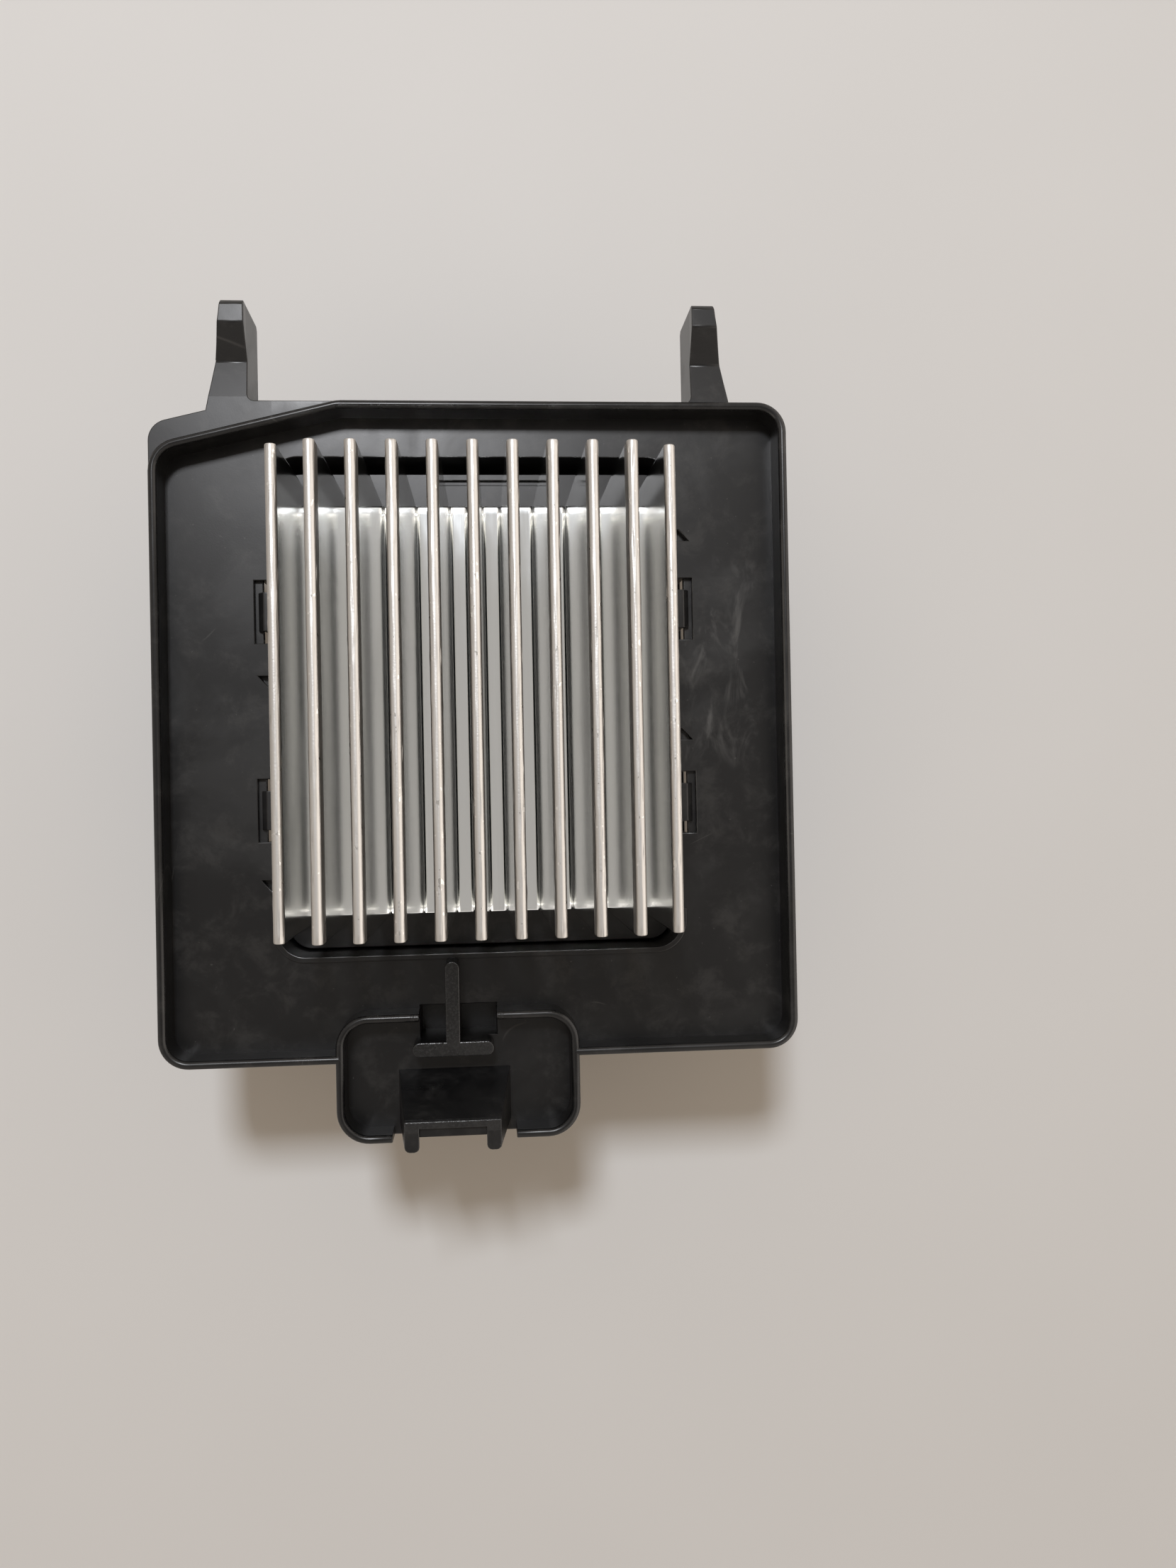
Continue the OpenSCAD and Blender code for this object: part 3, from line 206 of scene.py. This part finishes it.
def housing_plastic():
    material, tree, shader = start_material("housing_plastic")
    rubbed = spread(tree, cloud(tree, 16, detail=5, roughness=0.62, distortion=0.5), 0.42, 0.68)
    colour = mix_colour(tree, rubbed, BLACK, RUBBED)
    mottled = spread(tree, cloud(tree, 5, detail=6, roughness=0.7, distortion=0.3), 0.47, 0.7)
    colour = mix_colour(tree, calc(tree, "MULTIPLY", mottled, 0.17), colour, DUSTY)
    streaks = cloud(tree, 4, (1, 0.35, 1), detail=4, roughness=0.65, distortion=0.8)
    smudge_place = region(tree, *SMUDGE_BOX_MM, 4)
    smudge = calc(tree, "MULTIPLY", smudge_place, spread(tree, streaks, 0.5, 0.74))
    colour = mix_colour(tree, calc(tree, "MULTIPLY", smudge, 0.5), colour, DUSTY)
    scratches = calc(tree, "MULTIPLY", hairlines(tree, 30, (1, 0.6, 1), 0.0016),
                     spread(tree, cloud(tree, 9, detail=2), 0.56, 0.66))
    colour = mix_colour(tree, calc(tree, "MULTIPLY", scratches, 0.35), colour, DUSTY)
    dust = spread(tree, cloud(tree, 0.55, detail=1), 0.77, 0.82)
    colour = mix_colour(tree, calc(tree, "MULTIPLY", dust, 0.35), colour, DUSTY)
    stop_top = region(tree, *STOP_TOP_BOX_MM, 0.1)
    latch_top = region(tree, *LATCH_TOP_BOX_MM, 0.1)
    sparked = calc(tree, "MAXIMUM", stop_top, latch_top)
    # Lighter dots on the stop and latch tops: partly real sparked grain, partly painted sparkle.
    grain_and_painted_sparkle = spread(tree, cloud(tree, 0.3, detail=2), 0.45, 0.7, 0.25, 1)
    colour = mix_colour(tree, calc(tree, "MULTIPLY", sparked, grain_and_painted_sparkle), colour, GRAIN_AND_SPARKLE_GREY)
    tree.links.new(colour, shader.inputs["Base Color"])
    rough = spread(tree, rubbed, 0, 1, 0.3, 0.38, "LINEAR")
    height = part_of_place(tree, 2)
    rises = spread(tree, height, RIM_TOP_FROM_MM[0] * MM, RIM_TOP_FROM_MM[1] * MM)
    falls = spread(tree, height, RIM_TOP_TO_MM[0] * MM, RIM_TOP_TO_MM[1] * MM, 1, 0)
    rim_top = calc(tree, "MULTIPLY", rises, falls)
    rough = calc(tree, "SUBTRACT", rough, calc(tree, "MULTIPLY", rim_top, 0.05))
    rough = calc(tree, "ADD", rough, calc(tree, "MULTIPLY", smudge, 0.15))
    tree.links.new(rough, shader.inputs["Roughness"])
    fine = relief(tree, shader, cloud(tree, 0.16, detail=2), 0.0025)
    sparks = cloud(tree, 0.22, detail=1, roughness=0.6)
    relief(tree, shader, calc(tree, "MULTIPLY", sparks, sparked), 0.04, fine)
    shader.inputs["Specular IOR Level"].default_value = PLASTIC_SPECULAR
    shader.inputs["Specular Tint"].default_value = PLASTIC_TINT
    return material


# %% [markdown]
# The heat sink is one aluminium extrusion, sawn to length. Its sides are bright and carry the die's fine
# lines, which all run along the fins, so that noise is stretched along Y. The tips are warmer and duller,
# with small bright nicks, because they stand out most and are handled and knocked.

# %% Fin aluminium
ALUMINIUM = (0.95, 0.95, 0.935)
ALUMINIUM_DULL = (0.91, 0.91, 0.89)
ALUMINIUM_TIP = (0.46, 0.43, 0.395)
NICKED = (0.62, 0.59, 0.55)
TIPS_FROM_MM = (68.9, 69.3)


def fin_aluminium():
    material, tree, shader = start_material("fin_aluminium")
    shader.inputs["Metallic"].default_value = 1.0
    broad = cloud(tree, 0.9, (1, 0.015, 1), detail=3, roughness=0.6)
    fine = cloud(tree, 0.1, (1, 0.012, 1), detail=3, roughness=0.6)
    stains = spread(tree, cloud(tree, 11, (1, 0.5, 1), detail=4, roughness=0.6), 0.45, 0.75)
    colour = mix_colour(tree, spread(tree, broad, 0.35, 0.7), ALUMINIUM, ALUMINIUM_DULL)
    colour = mix_colour(tree, calc(tree, "MULTIPLY", stains, 0.3), colour, ALUMINIUM_DULL)
    tips = spread(tree, part_of_place(tree, 2), TIPS_FROM_MM[0] * MM, TIPS_FROM_MM[1] * MM)
    nicks = spread(tree, cloud(tree, 0.7, (1, 0.6, 1), detail=2), 0.66, 0.72)
    colour = mix_colour(tree, tips, colour, mix_colour(tree, nicks, ALUMINIUM_TIP, NICKED))
    tree.links.new(colour, shader.inputs["Base Color"])
    rough = spread(tree, fine, 0.3, 0.7, 0.095, 0.12, "LINEAR")
    rough = calc(tree, "ADD", rough, calc(tree, "MULTIPLY", stains, 0.04))
    tip_rough = spread(tree, nicks, 0, 1, 0.4, 0.22, "LINEAR")
    rough = add(tree, "ShaderNodeMix", {0: tips, 2: rough, 3: tip_rough}).outputs[0]
    tree.links.new(rough, shader.inputs["Roughness"])
    side_only = calc(tree, "SUBTRACT", 1.0, tips)
    lines = relief(tree, shader, calc(tree, "MULTIPLY", fine, side_only), 0.001)
    lines = relief(tree, shader, calc(tree, "MULTIPLY", broad, side_only), 0.002, lines)
    relief(tree, shader, calc(tree, "MULTIPLY", cloud(tree, 0.25, detail=2), tips), 0.012, lines)
    return material


# %% [markdown]
# The other finishes are simpler, so one function builds them from a table: a colour, a second colour that
# a cloud brings in, the roughness, whether it is a metal, and the size and depth of its grain.
# A stretch makes the grain run one way, as it does on drawn wire, rolled sheet and glass cloth.

# %% Table of the other finishes
FINISHES = {
    "connector_plastic": ((0.014, 0.014, 0.015), (0.024, 0.024, 0.026), 0.46, 0, 0.2, 0.006, (1, 1, 1)),
    "board_laminate": ((0.012, 0.10, 0.045), (0.02, 0.145, 0.065), 0.32, 0, 0.5, 0.01, (1, 1, 1)),
    "screw_steel": ((0.62, 0.61, 0.57), (0.48, 0.48, 0.47), 0.33, 1, 0.25, 0.008, (1, 1, 1)),
    "spring_steel": ((0.55, 0.55, 0.56), (0.42, 0.43, 0.46), 0.3, 1, 0.3, 0.006, (0.05, 1, 1)),
    "package_plastic": ((0.012, 0.012, 0.013), (0.02, 0.02, 0.021), 0.6, 0, 0.12, 0.012, (1, 1, 1)),
    "capacitor_sleeve": ((0.012, 0.014, 0.05), (0.02, 0.022, 0.07), 0.28, 0, 1.2, 0.01, (1, 1, 0.1)),
    "core_ferrite": ((0.05, 0.052, 0.056), (0.075, 0.077, 0.08), 0.55, 0, 0.3, 0.02, (1, 1, 1)),
    "winding_copper": ((0.62, 0.24, 0.09), (0.5, 0.17, 0.06), 0.24, 1, 0.4, 0.005, (1, 1, 1)),
    "film_capacitor": ((0.5, 0.32, 0.03), (0.42, 0.26, 0.02), 0.38, 0, 0.5, 0.01, (1, 1, 1)),
    "shunt_metal": ((0.5, 0.46, 0.4), (0.4, 0.37, 0.33), 0.36, 1, 0.3, 0.006, (0.05, 1, 1)),
    "ceramic_body": ((0.42, 0.3, 0.2), (0.34, 0.24, 0.16), 0.42, 0, 0.15, 0.006, (1, 1, 1)),
    "resistor_body": ((0.012, 0.012, 0.013), (0.03, 0.03, 0.03), 0.36, 0, 0.2, 0.005, (1, 1, 1)),
    "contact_metal": ((0.74, 0.72, 0.68), (0.62, 0.6, 0.56), 0.26, 1, 0.25, 0.005, (1, 1, 0.08)),
    "pad_silicone": ((0.3, 0.31, 0.33), (0.24, 0.25, 0.27), 0.7, 0, 0.4, 0.02, (1, 1, 1)),
}


def plain_finish(name, colour, second, roughness, metal, grain_mm, depth_mm, stretch):
    """A material from one row of the table."""
    material, tree, shader = start_material(name)
    shader.inputs["Metallic"].default_value = metal
    patches = spread(tree, cloud(tree, 6, detail=4, roughness=0.6), 0.38, 0.66)
    tree.links.new(mix_colour(tree, patches, colour, second), shader.inputs["Base Color"])
    rough = spread(tree, patches, 0, 1, roughness - 0.05, roughness + 0.07, "LINEAR")
    tree.links.new(rough, shader.inputs["Roughness"])
    relief(tree, shader, cloud(tree, grain_mm, stretch, detail=3), depth_mm)
    return material


materials = {"housing_plastic": housing_plastic(), "fin_aluminium": fin_aluminium()}
for slot_name, values in FINISHES.items():
    materials[slot_name] = plain_finish(slot_name, *values)
print("finishes:", len(materials))

# %% [markdown]
# Each CAD node says in the record which finish it has. A node whose shape is right keeps its own mesh, and
# only gets that material in its slots.

# %% Give every node its finish
slot_of = {part["node"]: part["material_slot"] for part in frame["record"]["subparts"]}
for node_name, node in frame["nodes"].items():
    if not node.material_slots:
        node.data.materials.append(None)
    for holder in node.material_slots:
        holder.material = materials[slot_of[node_name]]
print("nodes with a finish:", len(slot_of))

# %% [markdown]
# A moulded or sawn edge is never perfectly sharp, and its small round is what draws the thin bright lines
# along the rims in the photograph. A copy of a node's mesh is merged, its flat faces are joined again, and
# every outer edge sharper than 30 degrees gets a small bevel, unless it runs beside a sliver of a face.
# Faces with many corners are shaded flat. The copy then replaces the node.

# %% Helpers for rounded copies
SHARP = math.radians(30)
FLAT = math.radians(0.5)
MERGE_MM = 0.003
SLIVER_MM = 0.05
ROUND_SEGMENTS = 2
SMOOTH_CORNERS = 4
LEVEL = 0.99
SAME_HEIGHT_MM = 0.05


def merged_copy(node_name):
    """A bmesh of a node's mesh, with its doubles merged and its flat faces joined."""
    shape = bmesh.new()
    shape.from_mesh(frame["nodes"][node_name].data)
    bmesh.ops.remove_doubles(shape, verts=shape.verts, dist=MERGE_MM * MM)
    bmesh.ops.dissolve_limit(shape, angle_limit=FLAT, verts=shape.verts, edges=shape.edges)
    return shape


def sharp_edges(shape):
    """The edges between two faces that meet at more than the angle SHARP."""
    return [e for e in shape.edges if len(e.link_faces) == 2 and e.calc_face_angle(0) > SHARP]


def is_sliver(face):
    """True for a face that is narrower than SLIVER_MM on average."""
    return face.calc_area() < SLIVER_MM * MM * face.calc_perimeter() / 2


def cut_flat(shape, height_mm, cuts_mm):
    """Cuts the level faces at one height into short ones, so their narrow ends are rounded cleanly."""
    for direction, places in cuts_mm.items():
        for place_mm in places:
            faces = [f for f in shape.faces if f.normal.z > LEVEL
                     and abs(f.calc_center_median().z - height_mm * MM) < SAME_HEIGHT_MM * MM]
            edges = dict.fromkeys(e for f in faces for e in f.edges)
            points = dict.fromkeys(v for f in faces for v in f.verts)
            bmesh.ops.bisect_plane(shape, geom=[*faces, *edges, *points],
                                   plane_co=Vector(direction) * place_mm * MM, plane_no=direction)


def round_edges(shape, width_mm):
    """Bevels the sharp outer edges, but none beside a sliver of a face."""
    edges = [e for e in sharp_edges(shape) if e.is_convex and not any(is_sliver(f) for f in e.link_faces)]
    bmesh.ops.bevel(shape, geom=edges, offset=width_mm * MM, offset_type="OFFSET", segments=ROUND_SEGMENTS,
                    profile=0.5, affect="EDGES", clamp_overlap=False, material=-1)
    return len(edges)


def finish_piece(shape, name, slot_name, *nodes):
    """Turns a bmesh into an object, shaded flat on its broad faces, that rides on the root body."""
    for face in shape.faces:
        face.smooth = len(face.verts) <= SMOOTH_CORNERS
    for edge in shape.edges:
        edge.smooth = len(edge.link_faces) == 2 and edge.calc_face_angle(0) < SHARP
    mesh = bpy.data.meshes.new(name)
    shape.to_mesh(mesh)
    shape.free()
    piece = bpy.data.objects.new(name, mesh)
    scene.collection.objects.link(piece)
    mesh.materials.append(materials[slot_name])
    flat_first = piece.modifiers.new("flat faces stay flat", "WEIGHTED_NORMAL")
    flat_first.keep_sharp = True
    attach(piece, "root")
    if nodes:
        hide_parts(*nodes)
    return piece


print("helpers for rounded copies are ready")

# %% [markdown]
# The front housing is the most skilled piece of the part, one moulding with a rounded rim, hooks, pocket,
# stop and latch. Its rims are already round in the CAD model, so only the edges that are still sharp get
# a small bevel. The ledge outside the slanting rim narrows to nothing at its ends, and a bevel there would
# fold its one big face over the tray, so that face is cut into short ones first. The hooks' bends are
# picked by their place and get a wider round than the edges, up to the room that their ends leave.

# %% Front housing
HOUSING_EDGE_MM = 0.14
HOOK_REACH_MM = 13.2
HOOK_END_MM = 0.5
BEND_MM = 0.9
BEND_SEGMENTS = 5
LEDGE_TOP_MM = 42.5
LEDGE_CUTS_MM = {(1, 0, 0): (-43, -40, -36, -32, -28, -24, -21), (0, 1, 0): (33, 35, 37, 39)}
shape = merged_copy("front_housing")
cut_flat(shape, LEDGE_TOP_MM, LEDGE_CUTS_MM)
_, plate_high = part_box("front_housing")
hook_bends = [e for e in sharp_edges(shape)
              if min(v.co.y for v in e.verts) > plate_high.y - HOOK_REACH_MM * MM
              and max(v.co.y for v in e.verts) < plate_high.y - HOOK_END_MM * MM
              and abs(e.verts[0].co.y - e.verts[1].co.y) < 0.01 * MM
              and all(f.normal.z > 0.2 for f in e.link_faces)]
bmesh.ops.bevel(shape, geom=hook_bends, offset=BEND_MM * MM, offset_type="OFFSET", segments=BEND_SEGMENTS,
                profile=0.5, affect="EDGES", clamp_overlap=True, material=-1)
print("bends of the hooks made round:", len(hook_bends))
rounded = round_edges(shape, HOUSING_EDGE_MM)
front_housing_piece = finish_piece(shape, "front_housing_moulded", "housing_plastic", "front_housing")
print("front housing: edges rounded", rounded, "faces", len(front_housing_piece.data.polygons))

# %% [markdown]
# The heat sink's tips have been knocked about, and small dents show all along them. The extrusion is cut
# across into short lengths, which gives the tips enough points, and a fixed random draw then pushes a few
# of those points down and sideways.

# %% Heat sink
SINK_EDGE_MM = 0.2
SLICE_MM = 1.1
TIP_REACH_MM = 2.9
DENT_SEED = 4
DENT_SHARE = 0.05
DENT_DEPTH_MM = (0.03, 0.12)
DENT_SIDE_MM = 0.06
shape = merged_copy("heat_sink")
rounded = round_edges(shape, SINK_EDGE_MM)
low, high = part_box("heat_sink")
cuts = int((high.y - low.y) / (SLICE_MM * MM))
for i in range(1, cuts):
    y = low.y + (high.y - low.y) * i / cuts
    everything = list(shape.verts) + list(shape.edges) + list(shape.faces)
    bmesh.ops.bisect_plane(shape, geom=everything, plane_co=(0, y, 0), plane_no=(0, 1, 0))
draws = random.Random(DENT_SEED)
dents = 0
for vert in shape.verts:
    near_tip = vert.co.z > high.z - TIP_REACH_MM * MM
    if near_tip and draws.random() < DENT_SHARE:
        vert.co.z -= draws.uniform(*DENT_DEPTH_MM) * MM
        vert.co.x += draws.uniform(-DENT_SIDE_MM, DENT_SIDE_MM) * MM
        dents += 1
heat_sink_piece = finish_piece(shape, "heat_sink_extruded", "fin_aluminium", "heat_sink")
print("heat sink: edges rounded", rounded, "dents", dents, "faces", len(heat_sink_piece.data.polygons))

# %% [markdown]
# The other mouldings are seen from behind and through the slots, so they get the same small rounds.

# %% Rear housing, cover and connectors
EDGES_MM = {"rear_housing": 0.14, "back_cover": 0.14, "power_header": 0.14, "signal_header": 0.12}
for node_name, width_mm in EDGES_MM.items():
    shape = merged_copy(node_name)
    rounded = round_edges(shape, width_mm)
    piece = finish_piece(shape, node_name + "_moulded", slot_of[node_name], node_name)
    print(node_name, "edges rounded", rounded, "faces", len(piece.data.polygons))

# %% [markdown]
# The floor is a plain pale table. It isn't part of the object.

# %% Floor
FLOOR_SIDE = 8.0
TABLE_PALE = (0.63, 0.62, 0.60)
TABLE_DARK = (0.60, 0.59, 0.57)
shape = bmesh.new()
bmesh.ops.create_grid(shape, x_segments=1, y_segments=1, size=FLOOR_SIDE / 2)
floor_mesh = bpy.data.meshes.new("floor")
shape.to_mesh(floor_mesh)
shape.free()
floor = bpy.data.objects.new("floor", floor_mesh)
scene.collection.objects.link(floor)
material, tree, shader = start_material("table_top")
patches = cloud(tree, 60, detail=2)
tree.links.new(mix_colour(tree, patches, TABLE_DARK, TABLE_PALE), shader.inputs["Base Color"])
shader.inputs["Roughness"].default_value = 0.65
shader.inputs["Specular IOR Level"].default_value = 0.2
floor_mesh.materials.append(material)
print("floor side in metres:", FLOOR_SIDE)

# %% [markdown]
# One square lamp, a tenth of a metre wide, hangs beyond the hooks and throws a soft shadow towards the
# latch. Its place was solved from where the real shadows fall, and its width from how soft they are.

# %% Lamp
LAMP_TOWARDS = Vector((-0.103, 0.485, 1)).normalized()
LAMP_FROM_PART = 0.716
LAMP_SIDE = 0.105
LAMP_POWER = 3.5
LAMP_COLOUR = (0.94, 1, 1.09)
LAMP_LOOKS_AT = Vector((0, 0, 0.04))
lamp_data = bpy.data.lights.new("window", "AREA")
lamp_data.shape = "SQUARE"
lamp_data.size = LAMP_SIDE
lamp_data.energy = LAMP_POWER
lamp_data.color = LAMP_COLOUR
lamp = bpy.data.objects.new("window", lamp_data)
lamp.rotation_mode = "QUATERNION"
lamp.location = LAMP_LOOKS_AT + LAMP_TOWARDS * LAMP_FROM_PART
lamp.rotation_quaternion = LAMP_TOWARDS.to_track_quat("Z", "Y")
scene.collection.objects.link(lamp)
print("lamp at", [round(v, 3) for v in lamp.location], "in metres")

# %% [markdown]
# The world adds the warm light of a room. What shines mirrors that room, which is dim straight above,
# bright all round and brightest at the right, so flat faces stay dark and round edges draw bright lines.
# The camera itself sees a plain pale room.

# %% World
ROOM_LIGHT, ROOM_COLOUR = 0.41, (1.2, 1.0, 0.81)
MIRRORED_COLOUR = (1.03, 0.99, 0.95)
SEEN_LIGHT, SEEN_COLOUR = 0.85, (0.86, 0.84, 0.82)
world = bpy.data.worlds.new("room")
scene.world = world
world.use_nodes = True
tree = world.node_tree
rays = add(tree, "ShaderNodeLightPath").outputs
sky = add(tree, "ShaderNodeSeparateXYZ", {0: add(tree, "ShaderNodeTexCoord").outputs["Generated"]}).outputs
overhead = spread(tree, sky[2], 0.8, 0.975, 0.92, 0.46)
from_right = spread(tree, sky[0], 0.1, 0.8, 0.9, 2.3)
in_mirror = calc(tree, "MULTIPLY", overhead, from_right)
light = add(tree, "ShaderNodeMix", {0: rays["Is Glossy Ray"], 2: ROOM_LIGHT, 3: in_mirror}).outputs[0]
light = add(tree, "ShaderNodeMix", {0: rays["Is Camera Ray"], 2: light, 3: SEEN_LIGHT}).outputs[0]
colour = mix_colour(tree, rays["Is Glossy Ray"], ROOM_COLOUR, MIRRORED_COLOUR)
colour = mix_colour(tree, rays["Is Camera Ray"], colour, SEEN_COLOUR)
background = tree.nodes["Background"]
tree.links.new(colour, background.inputs["Color"])
tree.links.new(light, background.inputs["Strength"])
